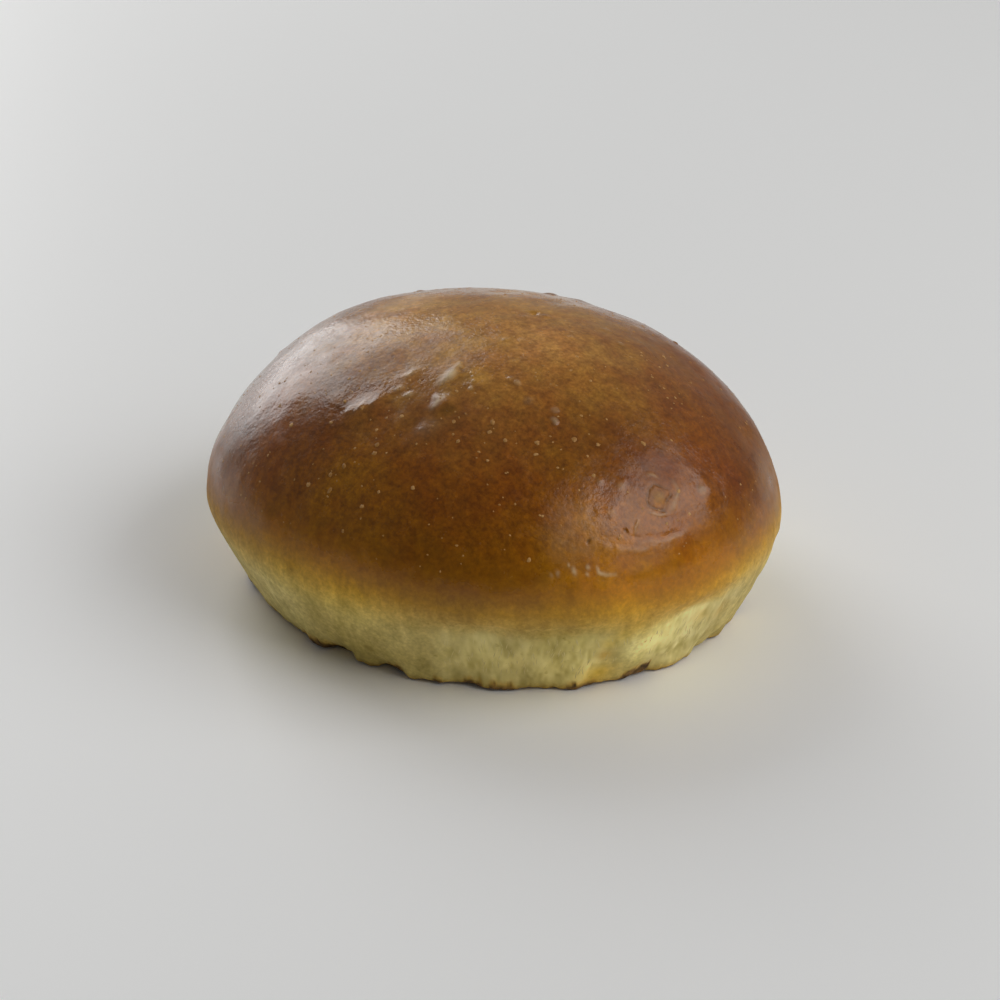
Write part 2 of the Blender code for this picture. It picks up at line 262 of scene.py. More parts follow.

# Patches of colour, some the bun's own and some painted highlight, painted sheen and painted shade: azimuth,
# lift, reach in millimetres and what red, green and blue are multiplied by
TINTS_AND_PAINTED_LIGHT = (
    (-118, 18, 11, 1.22, 1.14, 0.9), (-134, 8, 8, 1, 0.92, 0.8), (-96, 14, 9, 1.02, 1.06, 0.8),
    (-76, 14, 10, 1.04, 1.1, 0.7), (-89.5, 25.5, 5.5, 1.35, 1.58, 1), (-66, 28, 9, 1.14, 1.13, 1),
    (-103, 13, 8, 1.12, 1.11, 1), (-99, 5, 7, 1.18, 1.18, 1), (-84, 4, 9, 1.4, 1.38, 1),
    (-2, 3.5, 8, 1.36, 1.42, 1.5), (-72, 6, 7, 1.16, 1.14, 1), (11, 4, 6, 1.18, 1.2, 1.1),
    (-24, 6, 6, 1.32, 1.3, 1), (-31, 16, 7.5, 1.26, 1.36, 1.4), (-29.5, 22.5, 4.5, 1.14, 1.18, 1.4),
    (5, 1, 5, 0.98, 1.05, 1.2), (-4, 13, 7, 1.22, 1.18, 0.9), (-11.4, 20.3, 1.5, 1.12, 1.32, 0.9),
    (-20, 37, 8, 0.8, 0.78, 0.6), (-9, 30, 6, 0.84, 0.76, 0.6), (-10, 68, 9, 1.14, 1.12, 1.5),
    (-178, 57, 8, 1.55, 1.7, 2.5), (-128, 17, 6, 0.76, 0.74, 0.7), (-30, 40, 12, 1.02, 0.93, 0.7),
    (-82, 24, 16, 1.04, 1.1, 1.15), (6, 25, 4, 1.14, 1.17, 1.2), (-126, 32, 6, 1.22, 1.24, 1.3),
    (-141, 20, 4, 1.25, 1.26, 1.3), (-146, 42, 5, 0.84, 0.84, 0.86), (2, -1, 4.5, 1.16, 1.18, 1.26),
    (-9, 48, 9, 0.94, 0.92, 0.8), (-4, 12.5, 4, 0.84, 0.82, 0.75), (-5, 25, 5.5, 0.94, 0.88, 0.6),
    (-114, 42, 5, 0.84, 0.86, 0.9), (-11.4, 20.3, 2, 1.05, 1.14, 1), (8, 24, 8, 0.98, 0.93, 0.8),
    (-80, 31.5, 4.5, 1.15, 1.25, 1), (-16, 15, 11, 1.52, 1.6, 1.2), (-31, 8.5, 7.5, 1.32, 1.36, 1),
    (-12, 5, 8, 1.12, 1.06, 1), (-26, 19, 6, 1.12, 1.14, 1), (11, 18, 7, 0.82, 0.66, 1),
    (12, 37, 5, 0.88, 0.78, 1), (-30, 32.5, 6, 1.02, 1.18, 1), (2, 31, 6.5, 1.12, 1.18, 1),
    (-46, 9, 7, 1.12, 1.14, 1), (100, 18, 12, 1.35, 1.5, 1.2), (150, 20, 10, 0.84, 0.82, 0.9),
    (60, 26, 9, 0.86, 0.8, 0.9), (178, 30, 9, 1.15, 1.3, 1.1), (-108, -6, 11, 1.1, 1.13, 1.25),
    (-104, -15, 7, 1.16, 1.22, 1.35), (-80, -16.5, 5, 0.82, 0.8, 0.66), (-66, -15.5, 4, 0.88, 0.87, 0.8),
    (5, -3, 6, 1, 1.03, 1.2), (-4, -12, 8, 1.1, 1.13, 1.2), (1.6, -7, 2.6, 0.9, 0.78, 0.6),
    (-4.6, -6.1, 2, 0.92, 0.82, 0.66), (-25.1, -10.4, 1.4, 0.96, 0.76, 0.45),
    (-20, -2.6, 2, 0.96, 0.9, 0.64), (-22.6, -4.6, 1.8, 0.95, 0.88, 0.6),
    (-25, -7, 1.7, 0.94, 0.86, 0.58), (-15.5, -8.4, 5.5, 1.42, 1.5, 1.5), (-18.8, -9, 3, 1.22, 1.3, 1.5),
    (-28, -13, 4.5, 1.12, 1.14, 1.2), (-43, -11.5, 3, 1.24, 1.25, 1.3), (-31, -6, 3.5, 0.86, 0.84, 0.7),
    (-37, -5.5, 5, 0.8, 0.77, 0.62), (-33, -14, 6, 1.22, 1.23, 1.14), (-50, -13, 6, 1.18, 1.19, 1.1),
    (-25, -16.8, 3, 1.06, 0.86, 0.35), (118, -9, 6, 0.92, 0.8, 0.6), (-150, -14, 7, 0.95, 0.8, 0.5),
)

# Patches of skin that are more pebbly, or with a minus sign smoother: azimuth, lift, reach in millimetres
# and how much
PEBBLY_PATCHES = (
    (-24, 18, 8, 0.15), (-10, 24, 8, -0.3), (-118, 30, 8, -0.45), (-98, 54, 9, 0.4), (-72, 48, 7, -0.5),
    (-82, 42, 6, -0.35), (-10, 70, 10, 0.45), (-112, 66, 9, 0.5), (-125, 56, 7, 0.35), (120, 36, 14, 0.5),
    (30, 50, 12, -0.2),
)

# Duller patches of the glaze, or with a minus sign glossier: azimuth, lift, reach in millimetres and added
# roughness
DULL_PATCHES = (
    (-113, 51.5, 5.5, 0.3), (-106, 60, 6, 0.1), (-142, 43, 6, 0.12), (-76, 67, 6, 0.2),
    (-134, 50, 5, 0.08), (-107, 68.3, 6, 0.16), (-130, 16, 4.5, 0.1), (-122, 21, 4, 0.08),
    (-124, 33, 5, -0.05), (-138, 9, 6, 0.2), (-97, 41, 3.5, -0.12), (-11.4, 20.3, 1.9, 0.32),
    (-7, 25, 5.5, 0.22), (-4, 12.5, 4, 0.16), (-32, 17, 6.5, 0.14), (-110, 27, 6, 0.06),
    (32, 20, 9, 0.34), (45, 38, 9, 0.26), (38, 8, 7, 0.24), (150, 30, 10, 0.1),
)

# Where the bake comes lower or stays higher than the crust line: azimuth, half its width, millimetres down
BAKE_SHIFTS = ((-6, 30, 1.5), (-104, 22, -0.8), (110, 30, 1.2), (180, 25, -0.8))

# Dark crust of the base where it shows above the edge: azimuth, half its width in degrees, height
BASE_CRUST = (
    (-97, 6.5, 1.5), (-72.5, 3, 1.5), (-60.8, 1.6, 1.2), (-52.5, 3.4, 1.3),
    (-46, 3.8, 1.3), (-28.5, 4.5, 0.9), (-16.6, 3.6, 2.2), (-13.8, 1.7, 2.8),
    (26, 6, 1.4), (48, 3, 1.7), (71, 7, 1.1), (97, 3.5, 1.8),
    (123, 6.5, 1.5), (146, 2.5, 1.2), (171, 5.5, 1.9), (-158, 4, 1.3),
    (-131, 6, 1.2),
)
BASE_CRUST_WAVES = ((3.0 * MM, 0.45 * MM, 37.0), (1.2 * MM, 0.9 * MM, 31.0), (0.5 * MM, 0.4 * MM, 33.0))
BASE_CRUST_LEAST = 0.2 * MM
BASE_CRUST_ALL_ROUND = 0.25 * MM
RIM_FADE = 0.45 * MM
SINGED_FADE = 1.8 * MM

# Torn strands of crumb: number, least and greatest lift, length and width in millimetres, and their shape
SHRED_COUNT = 420
SHRED_LIFTS = (-14.5, -4.5)
SHRED_LENGTHS = (1.4, 3.6)
SHRED_WIDTHS = (0.2, 0.42)
SHRED_STEPS = 5
SHRED_LEAN = 0.35
SHRED_WOBBLE = (0.8, 1.2)
SHRED_SUNK = 0.35
SHRED_END_SUNK = 0.22
SHRED_MARGIN = 0.15
SEED = 11


def smooth_step(values):
    share = np.clip(values, 0.0, 1.0)
    return share * share * (3 - 2 * share)


def degrees_between(first, second):
    return np.abs((first - second + 180.0) % 360.0 - 180.0)


def bell(azimuth, middle, half):
    return np.exp(-((degrees_between(azimuth, middle) / half) ** 2))


def spans_at(azimuth, spans, sharpness):
    """What each span of (azimuth, half its width in degrees, amount) gives at those azimuths."""
    return [
        amount * smooth_step(sharpness * (1 - degrees_between(azimuth, middle) / half))
        for middle, half, amount in spans
    ]


def noise_at(points, size, tall=1.0, *shift):
    """Smooth noise from about -1 to 1 at each point, with lumps about as large as size."""
    scaled = points / size / np.array([1.0, 1.0, tall])
    scaled[:, : len(shift)] += shift
    return np.array([noise.noise(Vector(point)) for point in scaled])


def waves_at(points, waves):
    """Noises added up: size, height and shift of each."""
    return sum(height * noise_at(points, size, 1.0, *shift) for size, height, *shift in waves)


def spaced(points, spacing):
    """Points of a polyline at about that spacing, its two ends kept."""
    points = np.array(points)
    steps = np.hypot(*np.diff(points, axis=0).T)
    along = np.concatenate([[0.0], np.cumsum(steps)])
    wanted = np.linspace(0.0, along[-1], max(2, round(along[-1] / spacing) + 1))
    return np.stack([np.interp(wanted, along, points[:, axis]) for axis in range(2)], axis=1)


def ring_count(radius):
    """Vertices of a ring: halved as the rings get smaller, one at the pole."""
    if radius < POLE_RADIUS:
        return 1
    count, limit = STEPS, HALVED_WITHIN
    while count > FEWEST_STEPS and radius < limit:
        count //= 2
        limit /= 2
    return count


def bun_rows():
    """(radius, height, vertices round) of each ring from the top to the base. The poles have one vertex."""
    dome = HEIGHT - BELLY_HEIGHT
    turns = np.linspace(0.0, math.pi / 2, DOME_PROFILE_POINTS)
    radii = BELLY_RADIUS * np.sin(turns) ** (2 / DOME_POWER)
    heights = BELLY_HEIGHT + dome * np.clip(np.cos(turns), 0.0, 1.0) ** (2 / DOME_POWER)
    shares = np.linspace(0.0, 1.0, SIDE_PROFILE_POINTS)
    side_radii = BELLY_RADIUS * (1 - (1 - BASE_SHARE) * shares**SIDE_POWER)
    side_heights = BELLY_HEIGHT + (RIM_HEIGHT - BELLY_HEIGHT) * shares
    rim = [
        (BASE_RADIUS, RIM_HEIGHT),
        (BASE_RADIUS - RIM_WIDTH / 4, RIM_HEIGHT / 4),
        (BASE_RADIUS - RIM_WIDTH, 0.0),
    ]
    dome_rows = spaced(np.stack([radii, heights], axis=1), DOME_SPACING)
    side_rows = spaced(np.stack([side_radii, side_heights], axis=1), SIDE_SPACING)[1:]
    rim_rows = spaced(rim, RIM_SPACING)[1:]
    rows = [(*point, ring_count(point[0])) for point in dome_rows]
    rows += [(*point, SIDE_STEPS) for point in (*side_rows, *rim_rows[:RIM_FINE_ROWS])]
    rows += [(*point, STEPS) for point in rim_rows[RIM_FINE_ROWS:]]
    radius, count = rows[-1][0] - BASE_FIRST_STEP, STEPS // 2
    while radius > LAST_BASE_RING:
        rows.append((radius, 0.0, count))
        if count > 2 * FEWEST_STEPS:
            count = max(count // 2, FEWEST_STEPS)
        else:
            count = min(count, ring_count(radius))
        radius -= BASE_SPACING
    rows.append((0.0, 0.0, 1))
    return rows


def stitch(upper, upper_count, lower, lower_count):
    """Faces between two rings that start at those vertex numbers, as fine or one twice as fine."""
    if upper_count == 1:
        return [(upper, lower + i, lower + (i + 1) % lower_count) for i in range(lower_count)]
    if lower_count == 1:
        return [(upper + i, lower, upper + (i + 1) % upper_count) for i in range(upper_count)]
    count = min(upper_count, lower_count)
    nexts = [(i + 1) % count for i in range(count)]
    if upper_count == lower_count:
        return [(upper + i, lower + i, lower + j, upper + j) for i, j in enumerate(nexts)]
    coarse, fine = (upper, lower) if upper_count < lower_count else (lower, upper)
    faces = []
    for i, j in enumerate(nexts):
        a, b = coarse + i, coarse + j
        c, d, e = (fine + (2 * i + k) % (2 * count) for k in range(3))
        faces += [(a, c, d), (a, d, b), (b, d, e)]
    return faces if coarse == upper else [(a, c, b) for a, b, c in faces]


def bun_grid():
    """Points of the round bun and its faces."""
    points, faces, start, last = [], [], 0, None
    for radius, height, count in bun_rows():
        turns = 2 * math.pi * np.arange(count) / count
        ring = [radius * np.cos(turns), radius * np.sin(turns), np.full(count, height)]
        points.append(np.stack(ring, axis=1))
        if last:
            faces += stitch(last[0], last[1], start, count)
        last = (start, count)
        start += count
    return np.concatenate(points), faces


def to_oval(points):
    """The solid's own oval, leaning form."""
    x, y, z = points.T
    above = np.clip(z - BELLY_HEIGHT, 0.0, None) / (HEIGHT - BELLY_HEIGHT)
    off_base = np.clip(z / BELLY_HEIGHT, 0.0, 1.0)
    turn = np.arctan2(y, x) - math.radians(PLAN_SWELL_AZIMUTH)
    wide = (1 + PLAN_SWELL * np.cos(3 * turn)) / BELLY_RADIUS
    new_x = x * wide * LENGTH / 2
    new_y = y * wide * WIDTH / 2
    new_z = z + off_base * BELLY_TILT * new_x / (LENGTH / 2)
    new_x = new_x + above * LEAN[0] + (1 - off_base) * BASE_SHIFT[0]
    new_y = new_y + above * LEAN[1] + (1 - off_base) * BASE_SHIFT[1]
    return np.stack([new_x, new_y, new_z], axis=1)


def crust_line(azimuth):
    height = np.full_like(azimuth, CRUST_LINE)
    for waves, rise, crest in CRUST_LINE_WAVES:
        height += rise * np.cos(np.radians(waves * (azimuth - crest)))
    return height


def torn_share(azimuth):
    return np.max(spans_at(azimuth, TORN_PATCHES, TORN_SHARPNESS), axis=0)


def lumps(points):
    """Broad soft lumps, swells and presses over the whole bun."""
    rise = LUMP_HEIGHT * noise_at(points, *LUMPS)
    for azimuth, distance, height, swell in SWELLS:
        turn = math.radians(azimuth)
        middle = np.array([distance * math.cos(turn), distance * math.sin(turn), height]) * MM
        away = np.linalg.norm(points - middle, axis=1) / SWELL_REACH
        rise += swell * MM * np.exp(-away * away)
    return rise


def new_mesh(name, points, faces):
    mesh = bpy.data.meshes.new(name)
    mesh.from_pydata(points, [], faces)
    mesh.update()
    return mesh


def add_object(name, data):
    thing = bpy.data.objects.new(name, data)
    bpy.context.scene.collection.objects.link(thing)
    return thing


def tree_of(points, faces):
    return BVHTree.FromPolygons([Vector(point) for point in points], faces)


def on_bun(tree, azimuth, lift):
    """The point of the surface at that place, with its normal."""
    turn, tilt = math.radians(azimuth), math.radians(lift)
    way = Vector((math.cos(turn) * math.cos(tilt), math.sin(turn) * math.cos(tilt), math.sin(tilt)))
    place, normal, _, _ = tree.ray_cast(Vector((0.0, 0.0, BELLY_HEIGHT)), way)
    return place, normal


def line_on_bun(tree, places):
    return np.array([on_bun(tree, *place)[0] for place in places])


def from_place(points, tree, place, reach):
    """Distance from each point to that place on the bun, as a share of the reach."""
    return np.linalg.norm(points - np.array(on_bun(tree, *place)[0]), axis=1) / reach


def from_line(points, line):
    """Distance from each point to a polyline, and the share of the way along it."""
    nearest = np.full(len(points), 1e9)
    share = np.zeros(len(points))
    steps = np.linalg.norm(np.diff(line, axis=0), axis=1)
    before = np.concatenate([[0.0], np.cumsum(steps)]) / steps.sum()
    for number, (start, end) in enumerate(zip(line[:-1], line[1:])):
        way = end - start
        along = np.clip((points - start) @ way / (way @ way), 0.0, 1.0)
        away = np.linalg.norm(points - start - along[:, None] * way, axis=1)
        closer = away < nearest
        nearest[closer] = away[closer]
        share[closer] = (before[number] + along * (before[number + 1] - before[number]))[closer]
    return nearest, share


def distance_to(points, line):
    """Distance from each point to a ridge's line, or to a bubble's line of one point."""
    if len(line) == 1:
        return np.linalg.norm(points - line[0], axis=1)
    return from_line(points, line)[0]


def refine(points, faces, tree):
    """The same surface with smaller faces round the narrow ridges and small bubbles."""
    narrow = [(line_on_bun(tree, places), width * MM) for width, _, _, *places in RIDGES]
    narrow += [(line_on_bun(tree, (place,)), width * MM / 2) for *place, width, _, _ in BUBBLES]
    mesh = new_mesh("study", points.tolist(), faces)
    cage = bmesh.new()
    cage.from_mesh(mesh)
    for limit in FINE_WIDTHS:
        middles = np.array([face.calc_center_median() for face in cage.faces])
        near = np.zeros(len(middles), bool)
        for line, width in narrow:
            if width > limit:
                continue
            middle = line.mean(axis=0)
            span = np.linalg.norm(line - middle, axis=1).max() + 2 * width
            close = np.flatnonzero(np.linalg.norm(middles - middle, axis=1) < span)
            away = distance_to(middles[close], line)
            near[close[away < FINE_REACH * width + FINE_MARGIN]] = True
        chosen = {edge for face, wanted in zip(cage.faces, near) if wanted for edge in face.edges}
        bmesh.ops.subdivide_edges(cage, edges=list(chosen), cuts=1, use_grid_fill=True)
    cage.verts.index_update()
    points = np.array([vertex.co for vertex in cage.verts])
    faces = [tuple(vertex.index for vertex in face.verts) for face in cage.faces]
    cage.free()
    bpy.data.meshes.remove(mesh)
    return points, faces


def normals_of(points, faces):
    mesh = new_mesh("study", points.tolist(), faces)
    normals = np.empty(len(points) * 3, np.float32)
    mesh.vertex_normals.foreach_get("vector", normals)
    bpy.data.meshes.remove(mesh)
    return normals.reshape(-1, 3).astype(float)


def crust_relief(points, tree):
    """Ridges, grooves, bubbles and pits of the crust, with rubbed glaze, painted highlight and painted shade
    by them.
    """
    rise, rubbed_and_highlight, painted_shade = np.zeros((3, len(points)))
    uneven = 1 + waves_at(points, UNEVEN_WAVES)
    shifts = [noise_at(points, WARP_SIZE, 1.0, 15.0, 3.0 * axis) for axis in range(3)]
    shifts = np.stack(shifts, axis=1)
    for width, height, pale, *places in RIDGES:
        warped = points + min(WARP, WARP_SHARE * width * MM) * shifts
        away, share = from_line(warped, line_on_bun(tree, places))
        closed = places[0] == places[-1]
        taper = 1.0 if closed else RIDGE_ENDS + (1 - RIDGE_ENDS) * np.sin(math.pi * share)
        rough = 1 + (uneven - 1) * min(1.0, UNEVEN_UP_TO / width)
        body = taper * rough * np.exp(-2 * (2 * away / (width * MM)) ** 2)
        rise += height * MM * body
        # Pale rubbed glaze and painted highlight, and painted shade in grooves
        rubbed_and_highlight = np.maximum(rubbed_and_highlight, pale * body)
        painted_shade = np.maximum(painted_shade, -pale * body)
    for *place, width, height, pale in BUBBLES:
        warped = points + min(WARP, WARP_SHARE * width * MM) * shifts
        away = from_place(warped, tree, place, width * MM / 2)
        body = np.clip(1 - away * away, 0.0, None) ** BUBBLE_POWER
        rise += height * MM * body
        # Pale rubbed glaze, painted highlight and painted sheen, and painted shade beside bubbles and in pits
        rubbed_and_highlight = np.maximum(rubbed_and_highlight, pale * uneven * body)
        painted_shade = np.maximum(painted_shade, -pale * body)
    return rise, rubbed_and_highlight, painted_shade


def patches_of(points, tree, patches):
    """How far each patch of (azimuth, lift, reach in millimetres, values) covers the points."""
    for azimuth, lift, reach, *values in patches:
        away = from_place(points, tree, (azimuth, lift), reach * MM)
        yield np.exp(-away * away)[:, None], np.array(values)


def patches_at(points, tree, patches):
    return sum(share[:, 0] * value for share, value in patches_of(points, tree, patches))


def tints_and_painted_light_of(points, tree):
    """What the patches of colour, partly painted highlight, sheen and shade, multiply the crust and the crumb
    by.
    """
    tint_and_painted_light = np.ones((len(points), 3))
    for share, change in patches_of(points, tree, TINTS_AND_PAINTED_LIGHT):
        tint_and_painted_light *= 1 + share * (change - 1)
    return tint_and_painted_light


def pebble_share(points, above, azimuth, tree):
    """How pebbly the skin is: smooth low down, grainy over the top and at the photo's left."""
    share = smooth_step((above - PEBBLY_FROM) / PEBBLY_FADE)
    share *= 1 - PEBBLY_SWING + PEBBLY_SWING * np.cos(np.radians(azimuth - PEBBLY_AZIMUTH))
    return np.clip(share + patches_at(points, tree, PEBBLY_PATCHES), 0.0, PEBBLY_MOST)


def torn_crumb(points, azimuth, above, side):
    """Rise of the torn crumb, with its masks: pulled fibres, pits between them, a thin lip of crust above,
    and painted shade down in the crevices and pits.
    """
    torn = torn_share(azimuth)
    below_edge = TORN_WANDER * noise_at(points, *TORN_EDGE) - TORN_DROP - above
    fade = TORN_FADE - CRISPER_BY * bell(azimuth, CRISP_AZIMUTH, CRISP_HALF)
    open_crumb = torn * smooth_step(below_edge / fade + 0.2) * side
    coarse = noise_at(points, *COARSE_STRANDS)
    fine = noise_at(points, *FINE_STRANDS)
    low = PORES_HIGH_UP + (1 - PORES_HIGH_UP) * smooth_step(-above / PORES_REACH - 0.2)
    holes = smooth_step((noise_at(points, *PORES) - PORE_LEVEL) / PORE_FADE) * low
    crumb = side * CLOSED_CRUMB + (1 - CLOSED_CRUMB) * open_crumb
    rise = crumb * (COARSE_HEIGHT * coarse + FINE_HEIGHT * fine) - PORE_DEPTH * holes * open_crumb
    rise += LIP_HEIGHT * torn * np.exp(-((below_edge / LIP_WIDTH) ** 2)) * side
    # Painted shade down between the strands and in the pores
    between = np.clip(-0.66 * coarse - 0.55 * fine, 0, 1)
    masks = {
        "torn": open_crumb,
        "strand": np.clip(0.5 + 0.6 * fine + 0.6 * coarse, 0, 1),
        "crevice_shade": np.clip(between * crumb + holes * open_crumb, 0, 1),
    }
    return rise, masks


def foot_moves(level, azimuth, radius, height):
    """How far out and up the ragged edge of the base moves."""
    chips = np.max(spans_at(azimuth, CHIPS, CHIP_SHARPNESS), axis=0) * MM
    fade = smooth_step(1 - height / RAGGED_REACH)
    fade *= smooth_step((radius - BASE_RADIUS + 2 * RIM_WIDTH) / RIM_WIDTH)
    push = RAGGED_DEPTH * noise_at(level, RAGGED_SIZE) - chips
    push += waves_at(level, NOTCH_WAVES) * smooth_step(1 - height / NOTCH_REACH)
    raised = noise_at(level, *RAISED) + chips / RAGGED_DEPTH
    outward = level / np.clip(np.linalg.norm(level, axis=1), 1e-9, None)[:, None]
    moves = outward * (push * fade)[:, None]
    moves[:, 2] = np.maximum(RIM_LIFT * raised * fade, -0.5 * height)
    return moves


def base_crust(azimuth, level, height):
    """How far below the top of the dark base crust each point lies."""
    reach = np.max(spans_at(azimuth, BASE_CRUST, CHIP_SHARPNESS), axis=0) * MM
    ragged = waves_at(level, BASE_CRUST_WAVES) * (reach > BASE_CRUST_LEAST)
    return reach + ragged + BASE_CRUST_ALL_ROUND - height


def shape_bun():
    """Points, faces and the masks that colour the bun."""
    points, faces = bun_grid()
    points = to_oval(points)
    tree = tree_of(points, faces)
    points, faces = refine(points, faces, tree)
    normals = normals_of(points, faces)
    azimuth = np.degrees(np.arctan2(points[:, 1], points[:, 0]))
    radius = np.hypot(points[:, 0], points[:, 1])
    height = points[:, 2]
    above = height - crust_line(azimuth)
    off_base = (height >= FLAT_UP_TO)[:, None]
    side = smooth_step(-above / SIDE_FADE) * smooth_step((height - RIM_HEIGHT) / SIDE_FADE)
    # Patches of colour, partly the bun's own and partly painted highlight, sheen and shade
    tint_and_painted_light = tints_and_painted_light_of(points, tree)

    # The solid's own soft forms
    rise = lumps(points) * smooth_step(height / BELLY_HEIGHT) + patches_at(points, tree, FAR_TOP_SWELLS)
    flutes = FLUTE_DEPTH * noise_at(points, FLUTE_WIDTH, tall=FLUTE_LENGTH / FLUTE_WIDTH)
    rise += (flutes - TEAR_SINK) * torn_share(azimuth) * side
    knobbly = bell(azimuth, KNOBBLY_AZIMUTH, KNOBBLY_HALF) * side
    rise += KNOB_HEIGHT * knobbly * noise_at(points, *KNOBS)

    # The soft uneven skin of the crust and what stands out on it
    dome = height > BELLY_HEIGHT - DOME_OVERLAP
    # Paleness of rubbed glaze and painted highlight, and painted shade, from the ridges and bubbles
    rubbed_and_highlight, painted_shade = np.zeros((2, len(points)))
    relief, rubbed_and_highlight[dome], painted_shade[dome] = crust_relief(points[dome], tree)
    rise[dome] += relief
    pebbly = pebble_share(points, above, azimuth, tree)
    skin = waves_at(points, SKIN_WAVES) + PEBBLE_HEIGHT * pebbly * noise_at(points, *PEBBLES)
    rise += smooth_step(above / SKIN_FADE) * skin

    crumb, crumb_masks = torn_crumb(points, azimuth, above, side)
    points = points + normals * (rise + crumb)[:, None] * off_base
    level = points * np.array([1.0, 1.0, 0.0])
    points = points + foot_moves(level, azimuth, radius, height) * off_base

    # Fitted to the solid's box
    lowest, highest = points.min(axis=0), points.max(axis=0)
    box_low, box_high = (np.array(corner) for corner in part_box("bun"))
    points = box_low + (points - lowest) / (highest - lowest) * (box_high - box_low)

    brown = base_crust(azimuth, level, points[:, 2])
    masks = {
        "above_line": above / MM + np.sum(spans_at(azimuth, BAKE_SHIFTS, 1.0), axis=0),
        "rubbed_and_highlight": np.clip(rubbed_and_highlight, 0, 1),
        "painted_shade": np.clip(painted_shade, 0, 1),
        "pebbly": pebbly,
        "dull": patches_at(points, tree, DULL_PATCHES),
        "rim": smooth_step(brown / RIM_FADE + 0.5),
        "singed": smooth_step(brown / SINGED_FADE + 0.8),
        "tint_and_painted_light": tint_and_painted_light,
    }
    return points, faces, masks | crumb_masks


def joined_mesh(name, parts, material):
    """One object from many small (points, faces) parts."""
    points, faces = [], []
    for part_points, part_faces in parts:
        start = len(points)
        points += [tuple(point) for point in part_points]
        faces += [tuple(start + corner for corner in face) for face in part_faces]
    mesh = new_mesh(name, points, faces)
    mesh.shade_smooth()
    mesh.materials.append(material)
    return add_object(name, mesh)


def blister(place, normal, radius, draw):
    """A low uneven blister with its foot sunk in the crust."""
    across = normal.orthogonal().normalized()
    along = normal.cross(across)
    turn = draw.uniform(0.0, 2 * math.pi)
    stretch = draw.uniform(*BLISTER_STRETCH)
    proud = draw.uniform(*BLISTER_PROUD)
    sides = BLISTER_SIDES
    wobble = [draw.uniform(*BLISTER_WOBBLE) for _ in range(sides)]
    points = []
    for share, rise in BLISTER_RINGS:
        for side in range(sides):
            angle = 2 * math.pi * side / sides
            reach = radius * share * wobble[side]
            right, ahead = reach * math.cos(angle) * stretch, reach * math.sin(angle)
            flat = across * (right * math.cos(turn) - ahead * math.sin(turn))
            flat += along * (right * math.sin(turn) + ahead * math.cos(turn))
            points.append(place + flat + normal * (rise * proud * radius))
    points.append(place + normal * (BLISTER_TIP * proud * radius))
    faces = [tuple(range(sides - 1, -1, -1))]
    for low in range(0, (len(BLISTER_RINGS) - 1) * sides, sides):
        for side in range(sides):
            other = (side + 1) % sides
            faces.append((low + side, low + other, low + sides + other, low + sides + side))
    top = len(points) - 1 - sides
    faces += [(top + side, top + (side + 1) % sides, len(points) - 1) for side in range(sides)]
    return points, faces


def blister_places(draw):
    """Places and radii of the blisters: the ones that stand out, then drawn ones, thicker in drifts."""
    places = [(*place, draw.uniform(*BIG_DOT_RADII)) for place in DOTS]
    small, large = DOT_RADII
    while len(places) < DOT_COUNT:
        azimuth = draw.uniform(-180.0, 180.0)
        lift = math.degrees(math.asin(draw.uniform(LOWEST_DOT, 1.0)))
        turn = math.radians(azimuth)
        drift = noise.noise(Vector((math.cos(turn) * DRIFTS, math.sin(turn) * DRIFTS, lift / DRIFT_LIFT)))
        if draw.random() > DOT_SHARE + DRIFT_SHARE * drift:
            continue
        places.append((azimuth, lift, small + (large - small) * draw.random() ** 2))
    return places


def make_blisters(tree):
    draw = random.Random(SEED)
    parts = []
    for azimuth, lift, radius in blister_places(draw):
        place, normal = on_bun(tree, azimuth, lift)
        parts.append(blister(place, normal, radius, draw))
    return joined_mesh("pinhead_blisters", parts, blister_material())


def shred(tree, azimuth, lift, length, width, draw):
    """A torn strand of crumb that runs down the side, held at its top and bottom."""
    drop = math.degrees(length / BELLY_RADIUS)
    lean = draw.uniform(-SHRED_LEAN, SHRED_LEAN) * drop
    points = []
    for step in range(SHRED_STEPS + 1):
        share = step / SHRED_STEPS
        place, normal = on_bun(tree, azimuth + lean * share, lift - drop * share)
        across = normal.cross(Vector((0.0, 0.0, 1.0))).normalized()
        bulge = math.sin(math.pi * share)
        half = 0.5 * width * (0.25 + 0.75 * bulge) * draw.uniform(*SHRED_WOBBLE)
        foot = normal * (SHRED_SUNK * width)
        rise = width * (0.5 * bulge - SHRED_END_SUNK)
        points += [place - across * half - foot, place + normal * rise, place + across * half - foot]
    faces = []
    for low in range(0, 3 * SHRED_STEPS, 3):
        for side in range(3):
            a, b = low + side, low + (side + 1) % 3
            faces.append((a, b, b + 3, a + 3))
    last = 3 * SHRED_STEPS
    faces += [(2, 1, 0), (last, last + 1, last + 2)]
    return points, faces


def make_shreds(tree):
    """Strands of crumb on the torn patches."""
    draw = random.Random(SEED + 1)
    parts = []
    while len(parts) < SHRED_COUNT:
        azimuth = draw.uniform(-180.0, 180.0)
        if draw.random() > float(torn_share(np.array([azimuth]))[0]) - SHRED_MARGIN:
            continue
        lift = draw.uniform(*SHRED_LIFTS)
        length = draw.uniform(*SHRED_LENGTHS) * MM
        width = draw.uniform(*SHRED_WIDTHS) * MM
        parts.append(shred(tree, azimuth, lift, length, width, draw))
    return joined_mesh("crumb_shreds", parts, shred_material())


